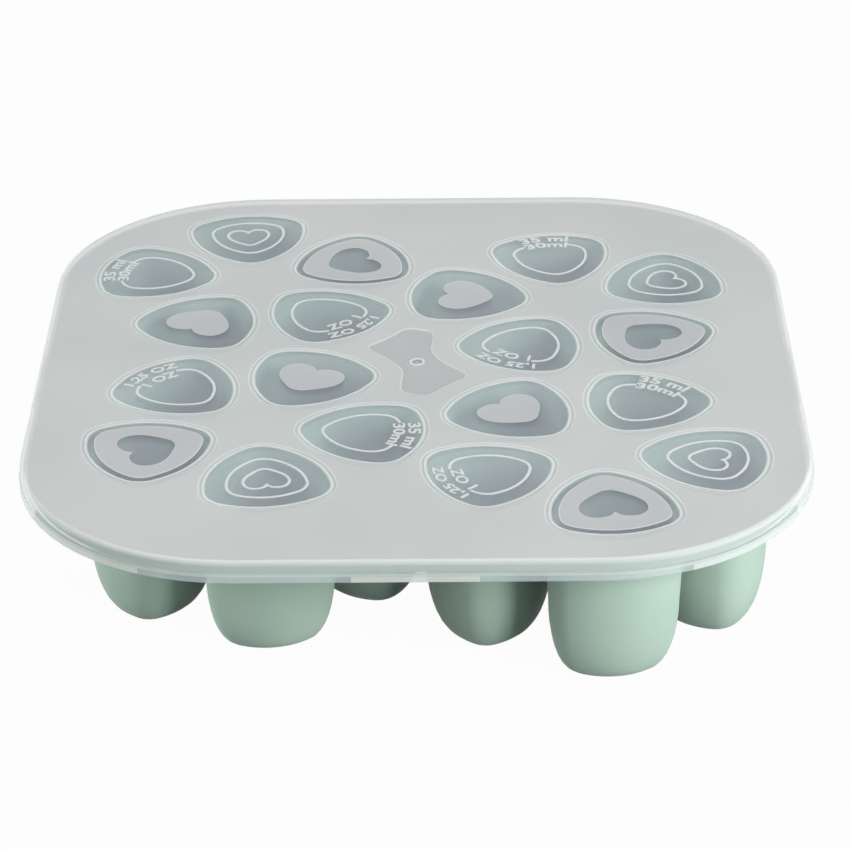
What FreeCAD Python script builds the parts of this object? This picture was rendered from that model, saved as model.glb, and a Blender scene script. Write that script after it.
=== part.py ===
"""Baby food freezer tray: a soft deck with twenty hanging cups, and a lid with a window over each one.

Every cup, mouth and window has the same outline, a rounded Reuleaux triangle: three corner arcs, and
three flanks, each centred on the corner opposite it. Five of them stand like petals round each of four
flowers, with one corner pointing to the flower's middle. The layout looks the same after half a turn.

Frame: millimetres, +Z up, the cups' feet on Z = 0, the origin under the middle of the tray.
"""

import FreeCAD, Part
import os
import Sketcher
from math import atan2, cos, radians, sin, sqrt

from FreeCAD import Vector

# ---------------------------------------------------------------- the sheet of driving dimensions

SIZES = (
    # overall
    ("height", 52.0, "lid's top face above the feet of the cups"),
    ("lid_width", 240.0, "lid, side to side"),
    ("lid_length", 255.0, "lid, front to back"),
    ("lid_corner", 67.5, "radius of the lid's corners"),
    # lid
    ("lid_sheet", 1.6, "thickness of the lid's top"),
    ("skirt_height", 7.0, "lid's top face to the foot of its skirt"),
    ("skirt_wall", 1.4, "thickness of the skirt"),
    ("edge_bevel", 0.9, "bevel of the lid's upper edge"),
    ("bead_reach", 0.8, "how far the snap beads stand in from the skirt"),
    ("bead_height", 1.3, "height of the snap beads"),
    ("bead_rise", 0.4, "foot of the skirt to the snap beads"),
    ("bead_length", 37.0, "length of the snap bead in the middle of each side"),
    ("bead_sweep", 44.0, "angle that the snap bead in each corner covers"),
    ("bead_clearance", 0.3, "snap beads to the edge of the rim"),
    # petals, and the windows over them
    ("petal_circle", 35.3, "middle of a flower to the middle of each petal"),
    ("corner_reach", 12.0, "middle of a window to the centres of its corner arcs"),
    ("corner_radius", 10.2, "radius of a window's corners, on the lid's top face"),
    ("border_width", 2.3, "width of the sloping border of a window"),
    ("border_drop", 0.5, "depth of a window, all of it in its sloping border"),
    # the two flowers that half a turn makes into four
    ("left_flower_x", -53.4, "middle of the flower at the back left"),
    ("left_flower_y", 59.9, "middle of the flower at the back left"),
    ("left_flower_turn", 97.0, "direction of that flower's first petal"),
    ("right_flower_x", 50.1, "middle of the flower at the back right"),
    ("right_flower_y", 42.3, "middle of the flower at the back right"),
    ("right_flower_turn", 98.6, "direction of that flower's first petal"),
    # tray
    ("deck_sheet", 2.0, "thickness of the deck"),
    ("rim_height", 3.5, "thickness of the deck's rim"),
    ("rim_width", 5.0, "width of the thick rim"),
    ("cup_wall", 1.8, "thickness of a cup's wall and floor"),
    ("foot_to_flank", 11.2, "middle of a cup to the edge of its foot, under a flank"),
    ("foot_to_corner", 13.1, "middle of a cup to the edge of its foot, under a corner"),
    ("bevel_height", 14.0, "height at which the flats of a cup's base meet its wall"),
    # middle of the lid
    ("star_margin", 6.9, "star-shaped panel to the windows round it"),
    ("star_depth", 0.4, "depth of the star-shaped panel"),
    ("gate_radius", 2.6, "radius of the moulding gate's dimple"),
    ("gate_depth", 0.4, "depth of the dimple, below the star"),
)
PETALS = 5
CORNERS = 3

# What follows from the driving dimensions: heights above the feet, and outlines
WORKED_OUT = (
    ("lid_underside", "sizes.height - sizes.lid_sheet"),
    ("skirt_foot", "sizes.height - sizes.skirt_height"),
    ("bead_foot", "skirt_foot + sizes.bead_rise"),
    ("border_foot", "sizes.height - sizes.border_drop"),
    ("star_floor", "sizes.height - sizes.star_depth"),
    ("deck_underside", "lid_underside - sizes.deck_sheet"),
    ("rim_foot", "lid_underside - sizes.rim_height"),
    ("rim_drop", "sizes.rim_height - sizes.deck_sheet"),
    ("skirt_drop", "sizes.skirt_height - sizes.lid_sheet"),
    ("inner_width", "sizes.lid_width - 2 * sizes.skirt_wall"),
    ("inner_length", "sizes.lid_length - 2 * sizes.skirt_wall"),
    ("inner_corner", "sizes.lid_corner - sizes.skirt_wall"),
    ("rim_inset", "sizes.bead_reach + sizes.bead_clearance"),
    ("rim_outer_width", "inner_width - 2 * rim_inset"),
    ("rim_outer_length", "inner_length - 2 * rim_inset"),
    ("rim_outer_corner", "inner_corner - rim_inset"),
    ("rim_inner_width", "rim_outer_width - 2 * sizes.rim_width"),
    ("rim_inner_length", "rim_outer_length - 2 * sizes.rim_width"),
    ("rim_inner_corner", "rim_outer_corner - sizes.rim_width"),
    ("side_bead_near", "inner_width / 2 - sizes.bead_reach"),
    ("side_bead_far", "inner_width / 2 + sizes.skirt_wall / 2"),
    ("end_bead_near", "inner_length / 2 - sizes.bead_reach"),
    ("end_bead_far", "inner_length / 2 + sizes.skirt_wall / 2"),
    ("corner_bead_near", "inner_corner - sizes.bead_reach"),
    ("corner_bead_far", "inner_corner + sizes.skirt_wall / 2"),
    ("corner_x", "sizes.lid_width / 2 - sizes.lid_corner"),
    ("corner_y", "sizes.lid_length / 2 - sizes.lid_corner"),
    ("window_radius", "sizes.corner_radius - sizes.border_width"),
    ("window_width", "2 * sizes.corner_radius + sqrt(3) * sizes.corner_reach"),
    # the star's sides are centred on the middles of the three windows nearest to it on each side
    ("star_radius", "window_width / 2 + sizes.star_margin"),
    ("petal_step", f"360 / {PETALS}"),
    ("star_1_way", "sizes.left_flower_turn - 2 * petal_step"),
    ("star_1_x", "sizes.left_flower_x + sizes.petal_circle * cos(star_1_way)"),
    ("star_1_y", "sizes.left_flower_y + sizes.petal_circle * sin(star_1_way)"),
    ("star_2_way", "sizes.right_flower_turn + petal_step"),
    ("star_2_x", "sizes.right_flower_x + sizes.petal_circle * cos(star_2_way)"),
    ("star_2_y", "sizes.right_flower_y + sizes.petal_circle * sin(star_2_way)"),
    ("star_3_way", "sizes.right_flower_turn + 2 * petal_step"),
    ("star_3_x", "sizes.right_flower_x + sizes.petal_circle * cos(star_3_way)"),
    ("star_3_y", "sizes.right_flower_y + sizes.petal_circle * sin(star_3_way)"),
    ("cup_inner_radius", "sizes.corner_radius - sizes.cup_wall"),
    # the flats of a cup's base start at its foot and end outside its wall
    ("corner_wall", "sizes.corner_reach + sizes.corner_radius"),
    ("corner_flat_end", "corner_wall + sizes.cup_wall"),
    ("corner_flat_rise", "sizes.bevel_height / (corner_wall - sizes.foot_to_corner)"),
    ("corner_flat_top", "corner_flat_rise * (corner_flat_end - sizes.foot_to_corner)"),
    ("flank_wall", "window_width - corner_wall"),
    ("flank_flat_end", "flank_wall + sizes.cup_wall"),
    ("flank_flat_rise", "sizes.bevel_height / (flank_wall - sizes.foot_to_flank)"),
    ("flank_flat_top", "flank_flat_rise * (flank_flat_end - sizes.foot_to_flank)"),
)

document = FreeCAD.newDocument("freezer_tray")
sizes = document.addObject("Spreadsheet::Sheet", "sizes")
for row, (name, number, meaning) in enumerate(SIZES, start=1):
    sizes.set(f"A{row}", meaning)
    sizes.set(f"B{row}", str(number))
    sizes.setAlias(f"B{row}", name)
worked = document.addObject("Spreadsheet::Sheet", "worked")
for row, (name, formula) in enumerate(WORKED_OUT, start=1):
    worked.set(f"A{row}", f"={formula}")
    worked.setAlias(f"A{row}", name)
document.recompute()

DRIVING = {name for name, _, _ in SIZES}


def cell(name):
    """The cell of a named size, as a formula calls it."""
    return ("sizes." if name in DRIVING else "worked.") + name


def value(name):
    """The number in a named size's cell."""
    return float((sizes if name in DRIVING else worked).get(name))


# ---------------------------------------------------------------- sketches

ORIGIN = (-1, 1)
X_AXIS, Y_AXIS = -1, -2
START, END, MIDDLE = range(1, 4)


def origin_feature(body, role):
    return next(f for f in body.Origin.OriginFeatures if f.Role == role)


def sketch_on(body, plane, name, **offsets):
    """A sketch on one of the body's planes, moved by formulas given as x, y, z and turned by one."""
    sketch = body.newObject("Sketcher::SketchObject", name)
    sketch.AttachmentSupport = [(origin_feature(body, plane), "")]
    sketch.MapMode = "FlatFace"
    for way, formula in offsets.items():
        place = "Rotation.Angle" if way == "turn" else f"Base.{way}"
        sketch.setExpression(f"AttachmentOffset.{place}", formula)
    return sketch


def level_sketch(body, name, height, **offsets):
    """A sketch level with the ground, at a named height."""
    return sketch_on(body, "XY_Plane", name, z=cell(height), **offsets)


def constrain(sketch, kind, *where, formula=None, now=None):
    """Adds a constraint, and binds its value to a formula on the sheets."""
    what = where if now is None else (*where, now)
    index = sketch.addConstraint(Sketcher.Constraint(kind, *what))
    if formula:
        sketch.setExpression(f"Constraints[{index}]", formula)


def arc(sketch, centre, radius, start, end):
    """Adds an arc, with its angles in degrees, and gives its index."""
    circle = Part.Circle(centre, Vector(0, 0, 1), radius)
    return sketch.addGeometry(Part.ArcOfCircle(circle, radians(start), radians(end)))


def petal_outline(sketch, reach, radius, middle=None):
    """Draws the rounded Reuleaux triangle, out along +X, with one corner towards the sketch's origin."""
    out = value(middle) if middle else 0.0
    third = 360 / CORNERS
    directions = [180 + third * k for k in range(CORNERS)]
    centres = [
        Vector(out + value(reach) * cos(radians(a)), value(reach) * sin(radians(a)), 0)
        for a in directions
    ]
    flank = value(radius) + sqrt(3) * value(reach)
    for k, direction in enumerate(directions):
        arc(sketch, centres[k], value(radius), direction - third / 4, direction + third / 4)
        arc(sketch, centres[k - 1], flank, direction + third / 4, direction + third * 3 / 4)
    near, right, left = 0, 2, 4  # the corner arcs, with a flank after each
    for k in range(6):
        constrain(sketch, "Tangent", k, END, (k + 1) % 6, START)
    for k in (right, left):
        constrain(sketch, "Equal", near, k)
        constrain(sketch, "Equal", near + 1, k + 1)
    constrain(sketch, "Radius", near, formula=cell(radius), now=value(radius))
    across = f"{cell(radius)} + sqrt(3) * {cell(reach)}"
    constrain(sketch, "Radius", near + 1, formula=across, now=flank)
    constrain(sketch, "PointOnObject", near, MIDDLE, X_AXIS)
    constrain(sketch, "Symmetric", right, MIDDLE, left, MIDDLE, X_AXIS)
    rise = value(reach) * sqrt(3) / 2
    constrain(
        sketch, "DistanceY", right, MIDDLE, *ORIGIN, formula=f"{cell(reach)} * sqrt(3) / 2", now=rise
    )
    if middle:
        to_near, to_far = f"{cell(middle)} - {cell(reach)}", f"{cell(middle)} + {cell(reach)} / 2"
        constrain(sketch, "DistanceX", *ORIGIN, near, MIDDLE, formula=to_near, now=out - value(reach))
    else:
        to_far = f"{cell(reach)} / 2"
        constrain(sketch, "DistanceX", near, MIDDLE, *ORIGIN, formula=cell(reach), now=value(reach))
    constrain(sketch, "DistanceX", *ORIGIN, left, MIDDLE, formula=to_far, now=out + value(reach) / 2)


def rounded_rectangle(sketch, width, length, radius):
    """Draws a rectangle with round corners, centred on the sketch's origin."""
    x, y = value(width) / 2 - value(radius), value(length) / 2 - value(radius)
    centres = [Vector(x, y, 0), Vector(-x, y, 0), Vector(-x, -y, 0), Vector(x, -y, 0)]
    quarter = 360 / len(centres)
    for k, centre in enumerate(centres):
        start, end = quarter * k, quarter * (k + 1)
        arc(sketch, centre, value(radius), start, end)
        aside = Vector(cos(radians(end)), sin(radians(end)), 0) * value(radius)
        sketch.addGeometry(Part.LineSegment(centre + aside, centres[(k + 1) % 4] + aside))
    for k in range(4):
        corner, side, following = 2 * k, 2 * k + 1, (2 * k + 2) % 8
        constrain(sketch, "Tangent", corner, END, side, START)
        constrain(sketch, "Tangent", side, END, following, START)
        if k:
            constrain(sketch, "Equal", 0, corner)
    constrain(sketch, "Symmetric", 0, MIDDLE, 2, MIDDLE, Y_AXIS)
    constrain(sketch, "Symmetric", 0, MIDDLE, 4, MIDDLE, *ORIGIN)
    constrain(sketch, "Symmetric", 0, MIDDLE, 6, MIDDLE, X_AXIS)
    constrain(sketch, "Radius", 0, formula=cell(radius), now=value(radius))
    for way, whole, half in (("DistanceX", width, x), ("DistanceY", length, y)):
        formula = f"{cell(whole)} / 2 - {cell(radius)}"
        constrain(sketch, way, *ORIGIN, 0, MIDDLE, formula=formula, now=half)


def bar(sketch, length, near, far):
    """Draws a rectangle across the sketch's +Y axis, from near to far."""
    half, low, high = value(length) / 2, value(near), value(far)
    corners = [Vector(-half, low, 0), Vector(half, low, 0), Vector(half, high, 0), Vector(-half, high, 0)]
    for k, corner in enumerate(corners):
        sketch.addGeometry(Part.LineSegment(corner, corners[(k + 1) % 4]))
    for k in range(4):
        constrain(sketch, "Coincident", k, END, (k + 1) % 4, START)
    for k in (0, 2):
        constrain(sketch, "Symmetric", k, START, k, END, Y_AXIS)
    constrain(sketch, "Vertical", 1)
    constrain(sketch, "DistanceX", 0, START, 0, END, formula=cell(length), now=value(length))
    constrain(sketch, "DistanceY", *ORIGIN, 0, START, formula=cell(near), now=low)
    constrain(sketch, "DistanceY", *ORIGIN, 2, START, formula=cell(far), now=high)


def sector(sketch, sweep, near, far):
    """Draws a piece of a ring round the sketch's origin, from near to far, astride +X."""
    half = value(sweep) / 2
    arc(sketch, Vector(), value(near), -half, half)
    arc(sketch, Vector(), value(far), -half, half)
    for side in (-half, half):
        way = Vector(cos(radians(side)), sin(radians(side)), 0)
        sketch.addGeometry(Part.LineSegment(way * value(near), way * value(far)))
    for k, point in ((2, START), (3, END)):
        constrain(sketch, "Coincident", 0, point, k, START)
        constrain(sketch, "Coincident", 1, point, k, END)
    for k, size in enumerate((near, far)):
        constrain(sketch, "Coincident", k, MIDDLE, *ORIGIN)
        constrain(sketch, "Radius", k, formula=cell(size), now=value(size))
    for k, sign in ((2, -1), (3, 1)):
        constrain(sketch, "PointOnObject", *ORIGIN, k)
        angle = f"{sign} * {cell(sweep)} / 2 * 1 deg"
        constrain(sketch, "Angle", k, formula=angle, now=sign * radians(half))


def wedge(sketch, foot, end, top, backwards):
    """Draws a right triangle up from the sketch's X axis, which runs out from foot to end."""
    way = -1 if backwards else 1
    start, out, high = way * value(foot), way * value(end), value(top)
    corners = [Vector(start, 0, 0), Vector(out, high, 0), Vector(out, 0, 0)]
    for k, corner in enumerate(corners):
        sketch.addGeometry(Part.LineSegment(corner, corners[(k + 1) % 3]))
    for k in range(3):
        constrain(sketch, "Coincident", k, END, (k + 1) % 3, START)
    constrain(sketch, "Vertical", 1)
    constrain(sketch, "PointOnObject", 0, START, X_AXIS)
    constrain(sketch, "PointOnObject", 2, START, X_AXIS)
    for k, size, now in ((0, foot, value(foot)), (2, end, value(end))):
        ends = (k, START, *ORIGIN) if backwards else (*ORIGIN, k, START)
        constrain(sketch, "DistanceX", *ends, formula=cell(size), now=now)
    constrain(sketch, "DistanceY", *ORIGIN, 0, END, formula=cell(top), now=high)


def star(sketch, radius, centres):
    """Draws a six-pointed star of hollow arcs, from three centres and their images after half a turn."""
    first = [Vector(value(f"{name}_x"), value(f"{name}_y"), 0) for name in centres]
    around = first + [-centre for centre in first]
    points = []
    for k, centre in enumerate(around):
        other = around[(k + 1) % 6]
        half = (other - centre) * 0.5
        rise = Vector(half.y, -half.x, 0).normalize() * sqrt(value(radius) ** 2 - half.Length**2)
        points.append(centre + half + rise)
    for k, centre in enumerate(around):
        ends = (points[k - 1] - centre, points[k] - centre)
        circle = Part.Circle(centre, Vector(0, 0, 1), value(radius))
        sketch.addGeometry(Part.ArcOfCircle(circle, *(atan2(end.y, end.x) for end in ends)))
    for k in range(6):
        constrain(sketch, "Coincident", k, END, (k + 1) % 6, START)
        if k:
            constrain(sketch, "Equal", 0, k)
    constrain(sketch, "Radius", 0, formula=cell(radius), now=value(radius))
    for k, name in enumerate(centres):
        for way, size in (("DistanceX", f"{name}_x"), ("DistanceY", f"{name}_y")):
            constrain(sketch, way, *ORIGIN, k, MIDDLE, formula=cell(size), now=value(size))
        constrain(sketch, "Symmetric", k, MIDDLE, k + 3, MIDDLE, *ORIGIN)


def round_spot(sketch, radius):
    """Draws a circle on the sketch's origin."""
    sketch.addGeometry(Part.Circle(Vector(), Vector(0, 0, 1), value(radius)))
    constrain(sketch, "Coincident", 0, MIDDLE, *ORIGIN)
    constrain(sketch, "Radius", 0, formula=cell(radius), now=value(radius))


# ---------------------------------------------------------------- features


def new_body(label):
    body = document.addObject("PartDesign::Body", label)
    body.Label = label
    return body


def pad(body, sketch, depth):
    feature = body.newObject("PartDesign::Pad", f"{sketch.Name}_pad")
    feature.Profile = sketch
    feature.setExpression("Length", cell(depth))
    return feature


def pocket(body, sketch, depth, upwards=False):
    """Cuts below the sketch, or above it where it is drawn on an underside."""
    feature = body.newObject("PartDesign::Pocket", f"{sketch.Name}_pocket")
    feature.Profile = sketch
    feature.setExpression("Length", cell(depth))
    feature.Reversed = upwards
    return feature


def polar(body, axis, times):
    pattern = document.addObject("PartDesign::PolarPattern", "turns")
    body.addObject(pattern)
    pattern.Axis = axis
    pattern.Angle = 360
    pattern.Occurrences = times
    return pattern


def z_axis(body):
    return (origin_feature(body, "Z_Axis"), [""])


def half_turn(body, originals):
    """Repeats features after half a turn about the tray's own axis."""
    body.Tip = polar(body, z_axis(body), 2)
    body.Tip.Originals = originals


def flower(body, originals, sketch):
    """Repeats a petal's features round its flower, and the flower after half a turn."""
    both = body.newObject("PartDesign::MultiTransform", f"{sketch.Name}_flowers")
    both.Originals = originals
    both.Transformations = [polar(body, (sketch, ["N_Axis"]), PETALS), polar(body, z_axis(body), 2)]
    body.Tip = both


def petal_sketch(body, name, side, height):
    """A level sketch whose origin is a flower's middle and whose +X runs out along its first petal."""
    x, y, turn = (cell(f"{side}_flower_{what}") for what in ("x", "y", "turn"))
    return level_sketch(body, name, height, x=x, y=y, turn=turn)


def top_face(feature):
    """The name and the shape of a feature's highest level face."""
    faces = feature.Shape.Faces
    index = max(range(len(faces)), key=lambda i: (faces[i].BoundBox.ZMin, faces[i].Area))
    return f"Face{index + 1}", faces[index]


# ---------------------------------------------------------------- tray: deck

deck = new_body("tray_deck")
rim = level_sketch(deck, "rim", "rim_foot")
rounded_rectangle(rim, "rim_outer_width", "rim_outer_length", "rim_outer_corner")
pad(deck, rim, "rim_height")
thin = level_sketch(deck, "thin", "rim_foot")
rounded_rectangle(thin, "rim_inner_width", "rim_inner_length", "rim_inner_corner")
pocket(deck, thin, "rim_drop", upwards=True)
for side in ("left", "right"):
    mouth = petal_sketch(deck, f"{side}_mouth", side, "lid_underside")
    petal_outline(mouth, "corner_reach", "cup_inner_radius", middle="petal_circle")
    flower(deck, [pocket(deck, mouth, "deck_sheet")], mouth)

# ---------------------------------------------------------------- tray: cups


def flower_of_cups(label, side, turned):
    """Five cups: one is a bevelled pad, shelled from its open top, and stands on each of five petals."""
    body = new_body(label)
    sign = "-" if turned else ""
    body.setExpression("Placement.Base.x", f"{sign}sizes.{side}_flower_x")
    body.setExpression("Placement.Base.y", f"{sign}sizes.{side}_flower_y")
    body.setExpression("Placement.Rotation.Angle", f"sizes.{side}_flower_turn + {180 if turned else 0}")
    plan = sketch_on(body, "XY_Plane", "plan", x=cell("petal_circle"))
    petal_outline(plan, "corner_reach", "corner_radius")
    pad(body, plan, "deck_underside")
    flats = []
    for under, backwards in (("flank", False), ("corner", True)):
        profile = sketch_on(body, "XZ_Plane", f"under_{under}", x=cell("petal_circle"))
        wedge(profile, f"foot_to_{under}", f"{under}_flat_end", f"{under}_flat_top", backwards)
        cut = body.newObject("PartDesign::Pocket", f"{under}_flat")
        cut.Profile = profile
        cut.Type = "ThroughAll"
        cut.Midplane = True
        flats.append(cut)
    bevels = polar(body, (plan, ["N_Axis"]), CORNERS)
    bevels.Originals = flats
    body.Tip = bevels
    document.recompute()
    shell = body.newObject("PartDesign::Thickness", "shell")
    shell.Base = (bevels, [top_face(bevels)[0]])
    shell.setExpression("Value", cell("cup_wall"))
    shell.Reversed = True
    petals = polar(body, z_axis(body), PETALS)
    petals.TransformMode = "Whole shape"
    body.Tip = petals
    return body


cups = [
    flower_of_cups("cups_back_left", "left", turned=False),
    flower_of_cups("cups_back_right", "right", turned=False),
    flower_of_cups("cups_front_left", "right", turned=True),
    flower_of_cups("cups_front_right", "left", turned=True),
]

# ---------------------------------------------------------------- lid

lid = new_body("lid")
cover = level_sketch(lid, "cover", "skirt_foot")
rounded_rectangle(cover, "lid_width", "lid_length", "lid_corner")
block = pad(lid, cover, "skirt_height")
document.recompute()

edge = lid.newObject("PartDesign::Chamfer", "upper_edge")
edge.Base = (block, [top_face(block)[0]])
edge.setExpression("Size", cell("edge_bevel"))

inside = level_sketch(lid, "inside", "skirt_foot")
rounded_rectangle(inside, "inner_width", "inner_length", "inner_corner")
pocket(lid, inside, "skirt_drop", upwards=True)

# snap beads: the half turn makes the other one of each
beads = []
for side, turn in (("end", 0), ("side", 90)):
    middle = level_sketch(lid, f"{side}_bead", "bead_foot", turn=str(turn))
    bar(middle, "bead_length", f"{side}_bead_near", f"{side}_bead_far")
    beads.append(pad(lid, middle, "bead_height"))
for side, sign, turn in (("right", "", 45), ("left", "-", 135)):
    x, y = sign + cell("corner_x"), cell("corner_y")
    corner = level_sketch(lid, f"{side}_corner_bead", "bead_foot", x=x, y=y, turn=str(turn))
    sector(corner, "bead_sweep", "corner_bead_near", "corner_bead_far")
    beads.append(pad(lid, corner, "bead_height"))
half_turn(lid, beads)

for side in ("left", "right"):
    opening = petal_sketch(lid, f"{side}_window", side, "height")
    petal_outline(opening, "corner_reach", "corner_radius", middle="petal_circle")
    floor = petal_sketch(lid, f"{side}_window_floor", side, "border_foot")
    petal_outline(floor, "corner_reach", "window_radius", middle="petal_circle")
    dish = lid.newObject("PartDesign::SubtractiveLoft", f"{side}_dish")
    dish.Profile = opening
    dish.Sections = [(floor, [""])]
    dish.Ruled = True
    flower(lid, [dish], opening)

panel = level_sketch(lid, "star", "height")
star(panel, "star_radius", ("star_1", "star_2", "star_3"))
pocket(lid, panel, "star_depth")
gate = level_sketch(lid, "gate", "star_floor")
round_spot(gate, "gate_radius")
pocket(lid, gate, "gate_depth")

# ---------------------------------------------------------------- checks and files

document.recompute()
failed = [item.Label for item in document.Objects if {"Invalid", "Error"} & set(item.State)]
if failed:
    raise RuntimeError(f"these did not compute: {failed}")
nodes = [deck, *cups, lid]
for body in nodes:
    if body.Shape.isNull() or not body.Shape.isValid():
        raise RuntimeError(f"{body.Label} has no valid shape")
os.makedirs("parts", exist_ok=True)
for body in nodes:
    body.Shape.exportStep(f"parts/{body.Label}.step")
    print(body.Label, len(body.Shape.Solids), "solids,", round(body.Shape.Volume / 1000, 2), "ml")
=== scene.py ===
# %% [markdown]
# # A silicone freezer tray under its frosted lid
# The tray is one soft moulding: a thin deck with twenty cups hanging from it, five to a flower. The lid
# is one stiff frosted moulding that presses over the deck's rim, with a shallow clear window above each
# cup. Both exist already as plain solids, in metres and in the right place. This notebook makes the
# finished skin of the tray, the finished lid, and the marks on its windows, around those solids.

# %% Load the solids
from math import atan2, cos, degrees, hypot, radians, sin, sqrt

import bmesh
import bpy
from mathutils import Matrix, Vector
from mathutils.geometry import intersect_line_line_2d


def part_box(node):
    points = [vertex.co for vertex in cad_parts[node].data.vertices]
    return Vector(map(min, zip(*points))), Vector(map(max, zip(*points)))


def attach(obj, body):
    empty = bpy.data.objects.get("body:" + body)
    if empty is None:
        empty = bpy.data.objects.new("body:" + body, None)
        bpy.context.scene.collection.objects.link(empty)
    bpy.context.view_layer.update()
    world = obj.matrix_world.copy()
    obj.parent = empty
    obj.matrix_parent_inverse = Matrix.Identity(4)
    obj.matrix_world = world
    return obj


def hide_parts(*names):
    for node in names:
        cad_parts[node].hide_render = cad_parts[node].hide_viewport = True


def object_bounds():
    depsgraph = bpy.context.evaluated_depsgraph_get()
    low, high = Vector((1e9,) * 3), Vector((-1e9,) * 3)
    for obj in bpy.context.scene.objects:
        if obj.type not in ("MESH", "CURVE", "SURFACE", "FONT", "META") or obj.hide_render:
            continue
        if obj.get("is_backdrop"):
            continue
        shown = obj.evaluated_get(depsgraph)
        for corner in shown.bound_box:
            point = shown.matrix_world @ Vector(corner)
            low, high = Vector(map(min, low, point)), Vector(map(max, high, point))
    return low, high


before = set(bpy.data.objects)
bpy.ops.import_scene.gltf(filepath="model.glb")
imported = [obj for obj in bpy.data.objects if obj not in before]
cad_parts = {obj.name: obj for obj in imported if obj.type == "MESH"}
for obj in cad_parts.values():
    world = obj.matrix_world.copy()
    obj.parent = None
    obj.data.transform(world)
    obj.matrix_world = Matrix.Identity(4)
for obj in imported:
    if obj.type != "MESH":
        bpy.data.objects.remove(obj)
cad_box = [list(corner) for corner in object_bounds()]
MM = 0.001
SAME_SPOT = 1e-6  # points closer than this, in metres, count as one
print("solids:", sorted(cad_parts))

# %% [markdown]
# ## Where everything is
# The layout looks the same after half a turn, so two flowers give all four. Each flower has five petals
# round its middle. A petal's own frame has its origin under the cup's middle and +X pointing away from
# the flower, so that everything about a cup or a window is modelled once, in that frame, and then set
# down twenty times.

# %% Flowers and petals
BACK_FLOWERS = [  # middle x, middle y, direction of the first petal
    (-53.4, 59.9, 97.0),
    (50.1, 42.3, 98.6),
]
FRONT_FLOWERS = [(-x, -y, turn + 180) for x, y, turn in reversed(BACK_FLOWERS)]
PETAL_CIRCLE = 35.3
# what is moulded into the windows, going round each flower from its first petal
WINDOW_KINDS = [
    ("rings", "plate", "ounces", "heart", "millilitres"),
    ("millilitres", "rings", "plate", "ounces", "heart"),
    ("rings", "plate", "ounces", "heart", "millilitres"),
    ("plate", "ounces", "heart", "millilitres", "rings"),
]


def point_at(reach, way):
    """A point at a distance from the origin, in a direction given in degrees."""
    return reach * Vector((cos(radians(way)), sin(radians(way))))


def petals():
    """The place of every petal, a matrix that carries the petal's frame into the tray's, and its kind."""
    for (x, y, turn), kinds in zip(BACK_FLOWERS + FRONT_FLOWERS, WINDOW_KINDS):
        for k, kind in enumerate(kinds):
            way = turn - k * 360 / len(kinds)
            middle = (Vector((x, y)) + point_at(PETAL_CIRCLE, way)).to_3d() * MM
            yield Matrix.Translation(middle) @ Matrix.Rotation(radians(way), 4, "Z"), kind


print(len(list(petals())), "petals")

# %% [markdown]
# ## Heights
# The solids say how high the lid and the deck stand. The lid's sheet lies flat on the deck, so a hair is
# left between the two skins: faces that share one plane flicker in a render.

# %% Heights, in millimetres
DECK_SHEET = 2.0
HAIR = 0.05  # each of the two skins stands back by this much
LID_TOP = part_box("lid")[1].z / MM
LID_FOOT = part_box("lid")[0].z / MM
DECK_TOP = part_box("tray_deck")[1].z / MM - HAIR
RIM_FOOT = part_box("tray_deck")[0].z / MM
LID_UNDER = DECK_TOP + 2 * HAIR
DECK_UNDER = DECK_TOP - DECK_SHEET
print(f"lid {LID_FOOT:.2f} to {LID_TOP:.2f}, deck {DECK_UNDER:.2f} to {DECK_TOP:.2f}")

# %% [markdown]
# ## Outlines
# Everything here is drawn from two outlines. A petal is a rounded Reuleaux triangle: three corner arcs,
# and three flanks, each centred on the corner opposite it, so its width is the same all round. The deck
# and the lid are rectangles with large round corners. Points run anticlockwise, as many on each arc for
# every size, so that a loop can be extruded and let out or taken in point by point.


# %% Two outlines
PETAL_REACH = 12.0  # a petal's middle to the centres of its corner arcs
PETAL_ROUND = 10.2  # the radius of those arcs
HALF_PETAL = 20.58  # half a petal's width
HALF_WIDTH, HALF_LENGTH = (round(side / MM, 3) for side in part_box("lid")[1][:2])
LID_CORNER = 67.5
CORNER_X, CORNER_Y = HALF_WIDTH - LID_CORNER, HALF_LENGTH - LID_CORNER
BEAD_HALF = 18.5  # half the length of a snap bead on a straight side


def petal_outline(radius=PETAL_ROUND, steps=10):
    """Points round a petal, one corner pointing to -X."""
    corners = [point_at(PETAL_REACH, way) for way in (180, 300, 420)]
    points = []
    for k, middle in enumerate(corners):
        for centre, length, start in (
            (middle, radius, 150 + 120 * k),
            (corners[k - 1], radius + sqrt(3) * PETAL_REACH, 210 + 120 * k),
        ):
            points += [centre + point_at(length, start + 60 * step / steps) for step in range(steps)]
    return points


def rounded_rectangle(inset, steps=15):
    """Points round the lid's outline, taken in by inset, with two more on each straight side."""
    half_box = Vector((HALF_WIDTH - inset, HALF_LENGTH - inset))
    points = []
    for sx, sy, start in ((1, 1, 0), (-1, 1, 90), (-1, -1, 180), (1, -1, 270)):
        centre = Vector((sx * CORNER_X, sy * CORNER_Y))
        turns = [start + 90 * step / steps for step in range(steps + 1)]
        points += [centre + point_at(LID_CORNER - inset, way) for way in turns]
        middle, along = point_at(1, start + 90) * half_box, point_at(BEAD_HALF, start + 180)
        points += [middle - along, middle + along]
    return points


def scaled(points, factor, shift=0.0):
    """The points scaled about the origin, then moved along X."""
    return [factor * point + Vector((shift, 0)) for point in points]


print(len(petal_outline()), "points round a petal,", len(rounded_rectangle(0)), "round the lid")

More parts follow.
